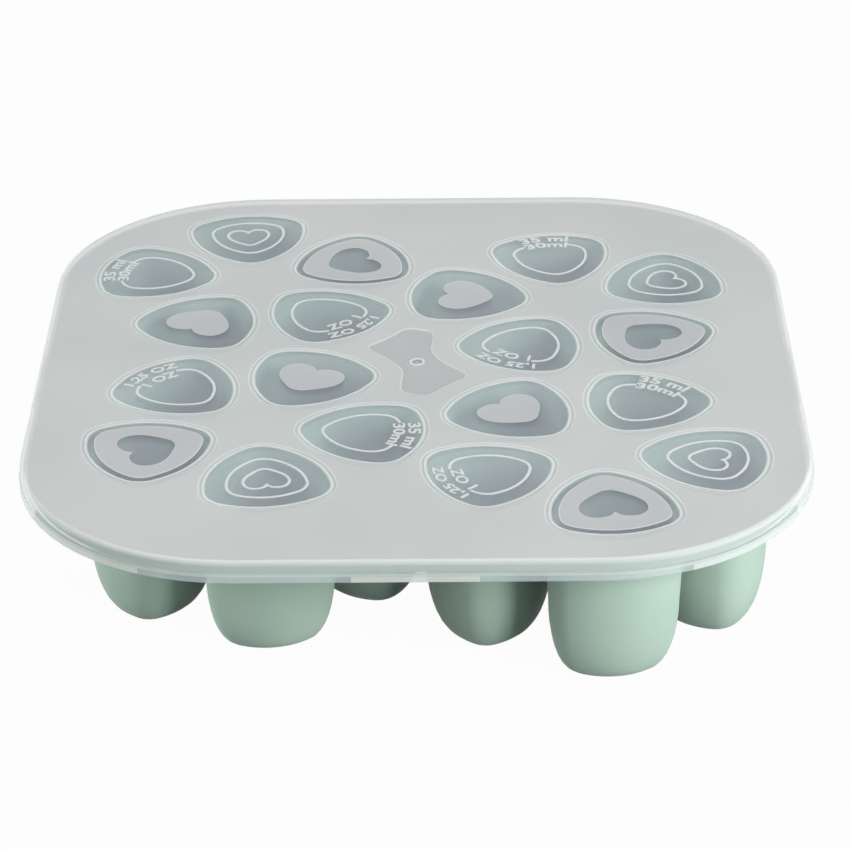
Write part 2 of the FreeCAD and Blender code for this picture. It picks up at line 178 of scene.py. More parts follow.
# %% [markdown]
# ## Tools for modelling loop by loop
# Most of these forms are skins that grow from one outline to the next, so the way to make them is a
# circle pulled to the outline, and then extrude after extrude, each new loop let out or taken in to its
# own outline. An integer on each vertex says where round the loop it sits. Extruding copies it, so each
# new vertex knows which point to go to.


# %% Loops
def deselect():
    bpy.ops.object.select_all(action="DESELECT")


def start_loop(name, points, z, face=False):
    """A new object in edit mode: a circle with one vertex a point, pulled to the outline."""
    deselect()
    fill = "NGON" if face else "NOTHING"
    bpy.ops.mesh.primitive_circle_add(vertices=len(points), radius=MM, fill_type=fill)
    piece = bpy.context.object
    piece.name = piece.data.name = name
    order = piece.data.attributes.new("order", "INT", "POINT")
    order.data.foreach_set("value", list(range(len(points))))
    bpy.ops.object.mode_set(mode="EDIT")
    bpy.ops.mesh.select_mode(type="FACE" if face else "EDGE")
    bpy.ops.mesh.select_all(action="SELECT")
    place_loop(piece, points, z)
    return piece


def place_loop(piece, points, z):
    """Moves each selected vertex to its own point of the outline."""
    mesh = bmesh.from_edit_mesh(piece.data)
    order = mesh.verts.layers.int["order"]
    for vertex in mesh.verts:
        if vertex.select:
            point = points[vertex[order]]
            vertex.co = (point.x * MM, point.y * MM, z * MM)
    bmesh.update_edit_mesh(piece.data)


def grow(piece, points, z):
    """Extrudes the selected loop and places the new one."""
    bpy.ops.mesh.extrude_region()
    place_loop(piece, points, z)


def finish_edit():
    bpy.ops.object.mode_set(mode="OBJECT")


print("loops start from a circle and grow by extrusion")

# %% [markdown]
# ## One cup
# A real cup tapers a little to half its height and then turns in over a long quarter of an ellipse to a
# small flat foot, so that a frozen portion pops out when the foot is pushed. It could be lofted or
# revolved, but a rounded triangle has no axis to revolve about, so the mouth's outline is extruded down
# ring by ring and scaled at each ring. The inside is the same, less the wall.

# %% The cup's outer wall
WALL = 1.8
SHOULDER = 23.0  # where the taper ends and the base begins to turn in
MOUTH, WAIST, FOOT = 1.0, 0.944, 0.57  # shares of the petal's outline: at the top, the shoulder, the foot
UNDER_DECK = (  # the round into the deck's underside: how far down, and how much wider than the mouth
    (0.0, 0.045),
    (0.15, 0.022),
    (0.5, 0.008),
    (1.1, 0.0),
)
TAPER_STOPS = (40, 31.5, SHOULDER)


def taper(z):
    """The share of the petal's outline between mouth and shoulder."""
    return WAIST + (MOUTH - WAIST) * (z - SHOULDER) / (DECK_UNDER - SHOULDER)


def ellipse_rings(top, bottom, wide, narrow, rings=9):
    """Heights and scales down a quarter of an ellipse."""
    for k in range(1, rings + 1):
        way = radians(90 * k / rings)
        yield top - (top - bottom) * sin(way), narrow + (wide - narrow) * cos(way)


petal = petal_outline()
cup = start_loop("cup", scaled(petal, MOUTH + UNDER_DECK[0][1]), DECK_UNDER)
for down, wider in UNDER_DECK[1:]:
    grow(cup, scaled(petal, MOUTH + wider), DECK_UNDER - down)
for z in TAPER_STOPS:
    grow(cup, scaled(petal, taper(z)), z)
for z, scale in ellipse_rings(SHOULDER, 0.0, WAIST, FOOT):
    grow(cup, scaled(petal, scale), z)
bpy.ops.mesh.edge_face_add()
finish_edit()
print("outer wall:", len(cup.data.polygons), "faces")


# %% The cup's inner wall, joined to the outer one
def join(name, *pieces):
    """Joins pieces into the first, under a new name."""
    deselect()
    for piece in pieces:
        piece.select_set(True)
    bpy.context.view_layer.objects.active = pieces[0]
    bpy.ops.object.join()
    pieces[0].name = pieces[0].data.name = name
    return pieces[0]


thinner = WALL / HALF_PETAL  # the wall's thickness as a share of the petal's outline
INTO_MOUTH = ((0.0, 0.035), (0.2, 0.012), (0.8, 0.0))  # the round at the mouth, likewise
lining = start_loop("lining", scaled(petal, MOUTH - thinner + INTO_MOUTH[0][1]), DECK_TOP)
for down, wider in INTO_MOUTH[1:]:
    grow(lining, scaled(petal, MOUTH - thinner + wider), DECK_TOP - down)
for z in TAPER_STOPS:
    grow(lining, scaled(petal, taper(z) - thinner), z)
for z, scale in ellipse_rings(SHOULDER, WALL, WAIST - thinner, FOOT - thinner / 2):
    grow(lining, scaled(petal, scale), z)
bpy.ops.mesh.edge_face_add()
finish_edit()
cup = join("cup", cup, lining)
print("cup:", len(cup.data.polygons), "faces")

# %% [markdown]
# ## The rim of the tray
# Round the thin deck the silicone is thicker, so that the lid has something firm to press over. The rim
# is a loop of its own: from the deck's upper face, over a round edge, down the side, under the thick rim
# and up to the thin deck. A bevelled curve would do it too, but extruding gives each edge its own round.

# %% The rim
RIM_EDGE = 2.5  # the lid's outline to the rim's
rim_profile = (  # how far in from the rim's edge, and the height
    (0.15, DECK_TOP - 0.15),
    (0.0, DECK_TOP - 0.5),
    (0.0, RIM_FOOT + 0.6),
    (0.18, RIM_FOOT + 0.18),
    (0.6, RIM_FOOT),
    (4.7, RIM_FOOT),
    (4.95, RIM_FOOT + 0.1),
    (5.05, RIM_FOOT + 0.35),
    (5.2, DECK_UNDER - 0.5),
    (5.4, DECK_UNDER - 0.15),
    (5.9, DECK_UNDER),
)
rim = start_loop("rim", rounded_rectangle(RIM_EDGE + 0.5), DECK_TOP)
for inset, z in rim_profile:
    grow(rim, rounded_rectangle(RIM_EDGE + inset), z)
finish_edit()
print("rim:", len(rim.data.polygons), "faces")

# %% [markdown]
# ## One tray from rim and cups
# The cup is copied to its twenty places, each copy with its own mesh, and joined to the rim. The two
# flat faces of the deck are then filled between all the open loops that lie in them, which also cuts
# the cups' mouths without a boolean. That makes one closed skin, as the real tray is one moulding. Its
# faces are turned outwards, and the round edges are shaded smooth.


# %% Copying, filling and finishing
def copies(model, name, places):
    """A copy of the model, with its own mesh, at each place. The model itself goes."""
    made = []
    for number, place in enumerate(places, start=1):
        copy = model.copy()
        copy.data = model.data.copy()
        copy.name = f"{name}_{number:02d}"
        bpy.context.collection.objects.link(copy)
        copy.data.transform(place)
        made.append(copy)
    bpy.data.objects.remove(model)
    return made


def edit_only(piece):
    """Goes into edit mode on one piece, with nothing selected."""
    deselect()
    piece.select_set(True)
    bpy.context.view_layer.objects.active = piece
    bpy.ops.object.mode_set(mode="EDIT")
    bpy.ops.mesh.select_mode(type="EDGE")
    bpy.ops.mesh.select_all(action="DESELECT")


def fill_level(piece, z):
    """Fills between all the open loops that lie at one height."""
    edit_only(piece)
    mesh = bmesh.from_edit_mesh(piece.data)
    for edge in mesh.edges:
        if edge.is_boundary and all(abs(v.co.z - z * MM) < SAME_SPOT for v in edge.verts):
            edge.select = True
    bmesh.update_edit_mesh(piece.data)
    bpy.ops.mesh.fill(use_beauty=True)
    finish_edit()


def finish_skin(piece, flats=True):
    """Turns every face outwards and shades the round edges smooth. A flat may be kept flat to its edge."""
    edit_only(piece)
    bpy.ops.mesh.select_all(action="SELECT")
    bpy.ops.mesh.remove_doubles(threshold=SAME_SPOT)
    bpy.ops.mesh.normals_make_consistent(inside=False)
    finish_edit()
    bpy.ops.object.shade_smooth_by_angle(angle=radians(40))
    if flats:
        weighted = piece.modifiers.new("flats stay flat", "WEIGHTED_NORMAL")
        weighted.keep_sharp = True
        bpy.ops.object.modifier_apply(modifier=weighted.name)
    piece.data.attributes.remove(piece.data.attributes["order"])
    print(piece.name, len(piece.data.polygons), "faces")


# %% Twenty cups and a deck
sites = [place for place, _ in petals()]
tray = join("tray", rim, *copies(cup, "cup", sites))
fill_level(tray, DECK_TOP)
fill_level(tray, DECK_UNDER)
finish_skin(tray, flats=False)

# %% [markdown]
# ## One window of the lid
# Each window is framed by a shallow groove and a low lip, and its clear floor lies a fifth of a
# millimetre below the lid's top. The lid's upper face is the start of it, so the outline is a filled
# face, and inset after inset takes it in by a true distance all round, each a little lower or higher.
# The last face is the floor. Its own underside lies in the lid's lower face.

# %% The window's frame and floor
WINDOW_STEPS = (  # how far in, and how far down
    (0.3, 0.05),
    (0.3, 0.1),
    (0.28, 0.1),
    (0.28, -0.15),
    (0.12, -0.04),
    (0.61, 0.0),
    (0.12, 0.04),
    (0.24, 0.1),
)
WINDOW_ROUND = 10.45  # the corner radius of the groove's outer edge
FLOOR_DROP = sum(down for _, down in WINDOW_STEPS)
LIP = LID_TOP - 0.06  # the lip's flat top
window = start_loop("window", petal_outline(WINDOW_ROUND), LID_TOP, face=True)
for inwards, down in WINDOW_STEPS:
    bpy.ops.mesh.inset(thickness=inwards * MM, depth=-down * MM)
finish_edit()
FLOOR = LID_TOP - FLOOR_DROP
print("the window's floor is", round(FLOOR_DROP, 2), "mm below the lid's top")

# %% [markdown]
# ## What is moulded into the windows
# Rings, hearts, plates and letters are low relief: they stand a tenth or two of a millimetre proud of
# the clear floor, and are frosted where the floor is clear. Each is a thin closed solid that is sunk a
# hair into the floor, made once for its kind of window. All start from two outlines: a heart, drawn as
# four curves and mirrored, and the petal itself, smaller, for the rings and the plates.

# %% Outlines of the hearts and rings
HEART_HALF = (  # four curves from the notch to the tip, each with its ends and handles, across and up
    ((0, 4.6), (0.9, 6.5), (2.9, 7.4), (5.2, 7.4)),
    ((5.2, 7.4), (8.3, 7.4), (10.5, 5.0), (10.5, 1.9)),
    ((10.5, 1.9), (10.5, -2.9), (5.6, -6.2), (3.0, -8.2)),
    ((3.0, -8.2), (2.0, -8.95), (1.1, -9.2), (0, -9.2)),
)


def bezier(curve, t):
    weights = ((1 - t) ** 3, 3 * t * (1 - t) ** 2, 3 * t * t * (1 - t), t**3)
    return [sum(w * point[axis] for w, point in zip(weights, curve)) for axis in (0, 1)]


def heart_outline(across=1.0, up=1.0, shift=0.0, steps=7):
    """Points round a heart whose tip points to -X, the flower's middle."""
    half = [bezier(curve, step / steps) for curve in HEART_HALF for step in range(steps)]
    half.append(HEART_HALF[-1][-1])
    round_it = [(-u, v) for u, v in half] + [(u, v) for u, v in reversed(half[1:-1])]
    return [Vector((v * up + shift, -u * across)) for u, v in reversed(round_it)]


def let_out(points, distance):
    """Moves a closed outline outwards, or inwards where the distance is negative.

    A sharp corner moves farther than the rest, but no farther than distance / 0.6.
    """
    moved = []
    for k, point in enumerate(points):
        back = (point - points[k - 1]).normalized()
        on = (points[(k + 1) % len(points)] - point).normalized()
        out = Vector((back.y + on.y, -back.x - on.x)).normalized()
        moved.append(point + out * distance / max(0.6, out.dot(Vector((on.y, -on.x)))))
    return moved


RELIEF = 0.16  # the marks stay just under the lid's top
SUNK = 0.04
LINE = 0.46  # half the width of a raised line
RING = 0.586  # the ring's share of the petal's outline
lone_ring = scaled(petal, RING, shift=0.5)
marked_ring = scaled(petal, RING, shift=-0.4)
print("a ring is", round(2 * HALF_PETAL * RING, 1), "mm across")

# %% [markdown]
# ## Raised lines and raised areas
# A ring is a low ridge along an outline. A curve with a bevel could draw it, but its round section would
# hang below the lid, so the ridge is grown loop by loop over its own section and back to its start. A
# heart or a plate is a wall round its outline, filled above and below, and a plate has a second wall
# round the heart that is left out of it.

# %% A raised line, and a gap in it for words
EASE_IN, EASE_DOWN = 0.1, 0.06  # how far the ridge's edges are eased, in and down
LINE_SECTION = (  # half across and height, from one foot over the ridge and back under it
    (LINE, RELIEF - EASE_DOWN),
    (LINE - EASE_IN, RELIEF),
    (EASE_IN - LINE, RELIEF),
    (-LINE, RELIEF - EASE_DOWN),
    (-LINE, -SUNK),
    (LINE, -SUNK),
)
WORDS_FROM = 4.0  # the side of a ring that may open for words is farther out than this


def raised_line(name, outline):
    """A closed low ridge along an outline."""
    ridge = start_loop(name, let_out(outline, LINE), FLOOR - SUNK)
    for out, z in LINE_SECTION:
        grow(ridge, let_out(outline, out), FLOOR + z)
    finish_edit()
    return ridge


def open_for_words(ridge, half_gap):
    """Takes out the side of a ring that faces away from the flower, and closes the two ends."""
    edit_only(ridge)
    bpy.ops.mesh.select_all(action="SELECT")
    bpy.ops.mesh.remove_doubles(threshold=SAME_SPOT)
    bpy.ops.mesh.select_all(action="DESELECT")
    bpy.ops.mesh.select_mode(type="FACE")
    mesh = bmesh.from_edit_mesh(ridge.data)
    for face in mesh.faces:
        middle = face.calc_center_median() / MM
        face.select_set(middle.x > WORDS_FROM and abs(middle.y) < half_gap)
    bmesh.update_edit_mesh(ridge.data)
    bpy.ops.mesh.delete(type="FACE")
    bpy.ops.mesh.select_all(action="SELECT")
    bpy.ops.mesh.fill_holes(sides=0)
    finish_edit()
    return ridge


# %% Raised areas, and the first three kinds of mark
SLOPE_IN, SLOPE_DOWN = 0.28, 0.05  # the sloping edge of a raised area
PLATE_INSET = 4.0


def raised_edge(name, outline, way):
    """The wall round a raised area. Its edge slopes in where way is -1, and out round a hole with 1."""
    wall = start_loop(name, outline, FLOOR - SUNK)
    grow(wall, outline, FLOOR + RELIEF - SLOPE_DOWN)
    grow(wall, let_out(outline, way * SLOPE_IN), FLOOR + RELIEF)
    finish_edit()
    return wall


def raised_area(name, *walls):
    """A low closed solid between its walls, filled above and below."""
    area = join(name, *walls) if len(walls) > 1 else walls[0]
    fill_level(area, FLOOR + RELIEF)
    fill_level(area, FLOOR - SUNK)
    return area


heart = heart_outline()
small_heart = heart_outline(across=0.66, up=0.717, shift=0.5)
marks = {
    "rings": join("rings", raised_line("ring", lone_ring), raised_line("heart_line", small_heart)),
    "heart": raised_area("heart", raised_edge("heart", heart, -1)),
    "plate": raised_area(
        "plate",
        raised_edge("plate", petal_outline(PETAL_ROUND - PLATE_INSET), -1),
        raised_edge("heart_hole", heart, 1),
    ),
}
print("relief:", {kind: len(mark.data.polygons) for kind, mark in marks.items()})

# %% [markdown]
# ## Measuring marks
# Two lines of raised letters stand above the ring of every window that has a measure: the full mark
# outside, the ring's own mark on the ring. They read from the middle of the flower. Blender's text tool
# draws them flat. As a mesh, they are then wrapped along an arc that runs with the window's flank.


# %% Letters on an arc
def words(body, length, height, out):
    """Raised words, centred above the petal's middle and wrapped round its near corner."""
    deselect()
    bpy.ops.object.text_add()
    text = bpy.context.object
    text.data.body = body
    text.data.align_x = text.data.align_y = "CENTER"
    text.data.size = 1.0
    text.data.resolution_u = 3
    text.data.offset = 0.024
    text.data.extrude = 0.01
    bpy.ops.object.convert(target="MESH")
    text = bpy.context.object
    spots = [vertex.co.copy() for vertex in text.data.vertices]
    low = [min(spot[axis] for spot in spots) for axis in range(3)]
    high = [max(spot[axis] for spot in spots) for axis in range(3)]
    reach = PETAL_REACH + out
    for vertex in text.data.vertices:
        x, y, z = ((vertex.co[axis] - low[axis]) / (high[axis] - low[axis]) for axis in range(3))
        away, turn = reach + (y - 0.5) * height, (x - 0.5) * length / reach
        level = FLOOR - SUNK + z * (SUNK + RELIEF)
        vertex.co = Vector((away * cos(turn) - PETAL_REACH, -away * sin(turn), level)) * MM
    return text


# %% The millilitre and ounce marks
HALF_GAP = 8.2  # half the opening in the ring
for kind, full, inner in (  # each mark: words, length, height, and how far out from the petal's middle
    ("millilitres", ("35 ml", 16.6, 4.0, 14.6), ("30ml", 14.5, 3.9, 9.9)),
    ("ounces", ("1,25 OZ", 20.4, 3.9, 13.7), ("1 OZ", 12.8, 3.8, 8.6)),
):
    ring = open_for_words(raised_line("ring", marked_ring), HALF_GAP)
    marks[kind] = join(kind, ring, words(*full), words(*inner))
    print(kind, len(marks[kind].data.polygons), "faces")

# %% [markdown]
# ## The lid's edge
# The lid hooks over the tray's rim with a short skirt. Its edge is a loop like the rim's: over a round
# shoulder, down to a small ledge, down the skirt to its foot, and up inside to the sheet's underside.

# %% The edge, loop by loop
UPPER_INSET = 0.35  # the skirt above the ledge stands in by this much
SHOULDER_ROUND = 1.2
SKIRT_WALL = 1.4
STRIP = LID_FOOT + 1.95  # top of the strip that the beads are behind
BEAD_FOOT, BEAD_TOP = LID_FOOT + 0.4, LID_FOOT + 1.7
edge_profile = [  # how far in from the lid's outline, and the height
    (UPPER_INSET + SHOULDER_ROUND * (1 - sin(radians(a))), LID_TOP - SHOULDER_ROUND * (1 - cos(radians(a))))
    for a in (18, 36, 54, 72, 90)
] + [
    (UPPER_INSET, LID_FOOT + 3.3),
    (UPPER_INSET - 0.06, LID_FOOT + 3.12),
    (0.06, LID_FOOT + 3.0),
    (0.0, LID_FOOT + 2.85),
    (0.0, STRIP),
    (0.0, LID_FOOT + 0.3),
    (0.09, LID_FOOT + 0.09),
    (0.3, LID_FOOT),
    (SKIRT_WALL - 0.3, LID_FOOT),
    (SKIRT_WALL - 0.09, LID_FOOT + 0.09),
    (SKIRT_WALL, LID_FOOT + 0.3),
    (SKIRT_WALL, BEAD_FOOT),
    (SKIRT_WALL, BEAD_TOP),
    (SKIRT_WALL, LID_UNDER - 0.6),
    (SKIRT_WALL + 0.15, LID_UNDER - 0.2),
    (SKIRT_WALL + 0.5, LID_UNDER),
]
edge = start_loop("lid_edge", rounded_rectangle(UPPER_INSET + SHOULDER_ROUND), LID_TOP)
for inset, z in edge_profile:
    grow(edge, rounded_rectangle(inset), z)
print("edge:", len(edge_profile), "loops below the lid's top")

# %% [markdown]
# ## Snap beads
# Eight low beads stand in from the skirt's foot and snap under the rim: one on the middle of each side
# and one round each corner. They could be separate blocks, but a moulded bead is part of the wall. So
# their faces are picked out of the inner wall, and extruded along their normals.


# %% Beads from the inner wall
BEAD_REACH = 0.8
BEAD_SWEEP = 44.0  # the angle that a bead covers round a corner


def inset_of(point):
    """How far inside the lid's outline a point lies, in millimetres."""
    x, y = abs(point.x) / MM - CORNER_X, abs(point.y) / MM - CORNER_Y
    return LID_CORNER - (hypot(x, y) if min(x, y) > 0 else max(x, y))


def by_a_bead(point):
    """Whether a point lies beside a snap bead, on the middle of a side or round a corner."""
    x, y = abs(point.x) / MM, abs(point.y) / MM
    around = degrees(atan2(y - CORNER_Y, x - CORNER_X))
    round_corner = min(x - CORNER_X, y - CORNER_Y) > 0 and abs(around - 45) < BEAD_SWEEP / 2
    return min(x, y) < BEAD_HALF or round_corner


bpy.ops.mesh.select_mode(type="FACE")
bpy.ops.mesh.select_all(action="DESELECT")
mesh = bmesh.from_edit_mesh(edge.data)
for face in mesh.faces:
    middle = face.calc_center_median()
    inside_wall = BEAD_FOOT < middle.z / MM < BEAD_TOP and inset_of(middle) > SKIRT_WALL - 0.2
    face.select_set(inside_wall and by_a_bead(middle))
print(sum(face.select for face in mesh.faces), "faces of the inner wall become snap beads")
bmesh.update_edit_mesh(edge.data)
bpy.ops.mesh.extrude_region_shrink_fatten(TRANSFORM_OT_shrink_fatten={"value": -BEAD_REACH * MM})
finish_edit()

# %% [markdown]
# ## The middle of the lid
# The space that four flowers of windows leave in the middle is sunk by a fraction of a millimetre, and
# its outline keeps one distance from the windows. So the outline is found by looking out from the
# middle, step by step round, for the nearest window let out by that distance. Averaging each point
# with its neighbours rounds the six corners.

# %% The star-shaped panel
STAR_MARGIN = 7.2
STAR_POINTS = 90
STAR_STEPS = ((0.25, 0.08), (0.3, 0.24), (0.25, 0.08))  # how far in, and how far down
PANEL = LID_TOP - sum(down for _, down in STAR_STEPS)
SIGHT = 60.0  # how far out to look, farther than the nearest windows


def petal_walls(margin):
    """The outline of each window, let out by the margin, as pairs of points in the lid's frame."""
    wall = petal_outline(PETAL_ROUND + margin)
    for place in sites:
        spots = [(place @ point.to_3d()).to_2d() / MM for point in scaled(wall, MM)]
        yield from zip(spots, spots[1:] + spots[:1])


def nearest_hit(way, walls):
    """The first point of a wall that is seen from the middle, looking one way."""
    hits = [intersect_line_line_2d(Vector((0, 0)), point_at(SIGHT, way), *wall) for wall in walls]
    return min((hit for hit in hits if hit), key=lambda hit: hit.length)


walls = list(petal_walls(STAR_MARGIN))
star = [nearest_hit(360 * step / STAR_POINTS, walls) for step in range(STAR_POINTS)]
for _ in range(3):
    trios = zip(star[-1:] + star, star, star[1:] + star)
    star = [(before + 2 * here + after) / 4 for before, here, after in trios]
panel = start_loop("panel", star, LID_TOP, face=True)
for inwards, down in STAR_STEPS:
    bpy.ops.mesh.inset(thickness=inwards * MM, depth=-down * MM)
bpy.ops.mesh.delete(type="ONLY_FACE")
finish_edit()
print("the panel reaches", round(max(point.length for point in star), 1), "mm from the middle")

# %% [markdown]
# ## The gate
# The plastic flowed into the mould through one point in the middle of the lid, and left a small ring
# with a dimple and a nub in it. It is round, so it is grown from a circle, radius by radius.


# %% A ring, a dimple and a nub
def round_loop(radius, steps=32):
    return [point_at(radius, 360 * step / steps) for step in range(steps)]


GATE_RADIUS = 2.6
GATE_STEPS = (  # radius, and height above the panel: a ring, a flat dimple and a nub
    (2.45, 0.14),
    (2.3, 0.2),
    (1.9, 0.2),
    (1.7, 0.1),
    (1.55, -0.3),
    (0.7, -0.34),
    (0.6, -0.1),
    (0.4, -0.04),
)
gate = start_loop("gate", round_loop(GATE_RADIUS), PANEL)
for radius, up in GATE_STEPS:
    grow(gate, round_loop(radius), PANEL + up)
bpy.ops.mesh.edge_face_add()
finish_edit()
panel = join("panel", panel, gate)
fill_level(panel, PANEL)

# %% [markdown]
# ## The whole lid
# The underside of each window is as wide as its frame, so that the rim of the cup shows through the
# edge of the window. With the edge and the panel it leaves two levels to fill, and the lid is closed.

# %% The windows' clear undersides, and the whole lid
UNDERSIDE_ROUND = 10.4
underside = start_loop("underside", petal_outline(UNDERSIDE_ROUND), LID_UNDER, face=True)
finish_edit()
window = join("window", window, underside)
lid = join("lid_cover", edge, panel, *copies(window, "window", sites))
fill_level(lid, LID_TOP)
fill_level(lid, LID_UNDER)
finish_skin(lid)

# %% [markdown]
# ## Setting down the marks
# Each kind of mark is copied to the windows that carry it. The marks are kept apart from the lid, as
# two pieces, because the thin lines and letters are painted paler than the broad flat areas, as a
# highlight.

# %% Marks on the windows
def set_down(name, *kinds):
    """Copies the marks of some kinds to their windows, as one piece."""
    made = []
    for kind in kinds:
        made += copies(marks[kind], f"mark_{kind}", [place for place, this in petals() if this == kind])
    piece = join(name, *made)
    finish_skin(piece)
    return piece


lines = set_down("window_lines", "rings", "millilitres", "ounces")
plates = set_down("window_plates", "heart", "plate")

# %% [markdown]
# ## Shader maths as Python
# Materials are built from expressions. A Wire wraps one socket of a material's node tree. An operator on
# it adds the Math node of that name, whichever side the Wire stands on, and one method adds any other
# node: its settings first, then the values or links of its sockets.


# %% Wire
class Wire:
    """One socket of a material, for writing shader maths as Python."""

    def __init__(self, tree, socket):
        self.tree, self.socket = tree, socket

    def node(self, kind, settings=None, sockets=None, output=0):
        made = self.tree.nodes.new(kind)
        for name, setting in (settings or {}).items():
            if name == "stops":
                first, last = made.color_ramp.elements
                first.position, first.color = setting[0]
                last.position, last.color = setting[-1]
                for position, colour in setting[1:-1]:
                    made.color_ramp.elements.new(position).color = colour
            else:
                setattr(made, name, setting)
        for name, given in (sockets or {}).items():
            if isinstance(given, Wire):
                self.tree.links.new(given.socket, made.inputs[name])
            else:
                made.inputs[name].default_value = given
        return Wire(self.tree, made.outputs[output])

    def maths(self, operation, *values):
        return self.node("ShaderNodeMath", {"operation": operation}, dict(enumerate(values)))

    def __add__(self, other):
        return self.maths("ADD", self, other)

    def __sub__(self, other):
        return self.maths("SUBTRACT", self, other)

    def __rsub__(self, other):
        return self.maths("SUBTRACT", other, self)

    def __mul__(self, other):
        return self.maths("MULTIPLY", self, other)

    __radd__, __rmul__ = __add__, __mul__

    def noise(self, scale, detail=2.0, roughness=0.5):
        """Noise over this vector, from 0 to 1. The scale is in features a metre."""
        sockets = {"Vector": self, "Scale": scale, "Detail": detail, "Roughness": roughness}
        return self.node("ShaderNodeTexNoise", {}, sockets)

    def between(self, low, high):
        """Spreads values from low to high over 0 to 1."""
        sockets = {"Value": self, "From Min": low, "From Max": high}
        return self.node("ShaderNodeMapRange", {"clamp": True}, sockets)

    def blend(self, colour, other):
        """A colour that is the first where this is 0 and the other where it is 1."""
        sockets = {0: self, 6: colour, 7: other}
        return self.node("ShaderNodeMix", {"data_type": "RGBA"}, sockets, output=2)

    def bump(self, strength, distance):
        return self.node("ShaderNodeBump", {}, {"Height": self, "Strength": strength, "Distance": distance})

    def seen(self):
        """1 for a ray from the camera, a mirror or a glass, and 0 for one that only brings light."""
        kinds = ("Is Camera Ray", "Is Glossy Ray", "Is Transmission Ray")
        path = self.tree.nodes.new("ShaderNodeLightPath")
        camera, glossy, through = (Wire(self.tree, path.outputs[kind]) for kind in kinds)
        return camera + glossy + through


def colour(red, green, blue):
    """A colour as a screen shows it, 0 to 255, in the linear numbers that shaders use."""
    return [((c / 255 + 0.055) / 1.055) ** 2.4 for c in (red, green, blue)] + [1.0]


def new_material(name):
    """An empty material, the Wire of its object coordinates, and its output node."""
    material = bpy.data.materials.new(name)
    material.use_nodes = True
    tree = material.node_tree
    tree.nodes.clear()
    out = tree.nodes.new("ShaderNodeOutputMaterial")
    start = Wire(tree, out.inputs["Surface"])
    where = start.node("ShaderNodeTexCoord", output=3)
    return material, where, out


def surface(out, wire):
    """Shows a shader through an output node."""
    wire.tree.links.new(wire.socket, out.inputs["Surface"])


print("colour of white:", colour(255, 255, 255))

# %% [markdown]
# ## Silicone
# The tray is sage green, soft and matt. Real silicone is a little cloudy: broad patches are a shade
# lighter, its roughness varies from rubbing, and a fine grain from the mould breaks up its highlights.
# A plain colour would look like paint, so noise at three scales drives colour, roughness and bump.

# %% Sage silicone
silicone, where, out = new_material("sage_silicone")
cloud = where.noise(38.0, detail=3.0).between(0.32, 0.68)
grain = where.noise(2600.0, detail=1.0)
rub = where.noise(420.0, detail=4.0, roughness=0.62)
green = cloud.blend(colour(158, 181, 168), colour(165, 187, 174))
surface(
    out,
    where.node(
        "ShaderNodeBsdfPrincipled",
        {},
        {
            "Base Color": green,
            "Roughness": 0.5 + 0.16 * rub,
            "Specular IOR Level": 0.12,
            "Sheen Weight": 0.05,
            "Sheen Roughness": 0.4,
            "Normal": (grain + 0.4 * rub).bump(0.18, 0.00012),
        },
    ),
)
tray.data.materials.clear()
tray.data.materials.append(silicone)
print("silicone on", tray.name)

# %% [markdown]
# ## Frosted and clear plastic
# The lid is one thin translucent plastic. Frosted by a textured mould it scatters light, and where the
# mould is polished it is nearly clear. Glass shaders would show the same at a great cost in noise, so
# each face simply lets part of what is behind it through. A ray crosses two faces, so the two together
# hide more than one.


# %% Lid plastics
def plastic(name, pale, deep, see_through, roughness, grain_depth):
    """A plastic whose faces hide all but the see_through share of what is behind them."""
    material, where, out = new_material(name)
    cloud = where.noise(17.0, detail=2.0).between(0.3, 0.7)
    grain = where.noise(3200.0, detail=1.5)
    streak = where.noise(260.0, detail=3.0)
    skin = {
        "Base Color": cloud.blend(colour(*deep), colour(*pale)),
        "Roughness": roughness + 0.08 * streak,
        "Alpha": (1.0 - see_through) + 0.03 * (cloud - 0.5),
        "Normal": grain.bump(grain_depth, 0.0001),
    }
    surface(out, where.node("ShaderNodeBsdfPrincipled", {}, skin))
    return material


print("a plastic has a tint, a clearness, a roughness and a grain")

# %% [markdown]
# ## The skirt's plastic
# Seen from the side, the skirt is milky where it is thick or doubled, and clearer in between, so it
# looks like a stack of bands. Part of its tint is painted light: a milky band over the round shoulder is
# a painted highlight, the pale green above the ledge stands in for the lit rim seen through it, and the
# ledge is painted darker to dim its own highlight. The height above its foot drives two colour ramps: one
# gives the tint, and one how much a face hides. Splitting the wall into strips would do it too, but with
# hard edges.


# %% Bands of the skirt
SKIRT_BANDS = (  # height above the skirt's foot, colour, and how much each face lets through
    (0.0, (204, 216, 219), 0.65),
    (1.9, (204, 216, 219), 0.65),
    (2.1, (196, 206, 203), 0.3),
    (2.8, (196, 206, 203), 0.32),
    # the ledge is darker: painted shade that dims its highlight
    (2.95, (178, 190, 186), 0.5),
    (3.2, (178, 190, 186), 0.55),
    # pale green above the ledge: painted light, the lit rim seen through
    (3.4, (206, 219, 213), 0.58),
    (5.2, (206, 219, 213), 0.58),
    # milky over the round shoulder: a painted highlight
    (5.9, (208, 216, 213), 0.34),
    (6.6, (198, 202, 200), 0.24),
    (7.0, (196, 199, 198), 0.28),
)


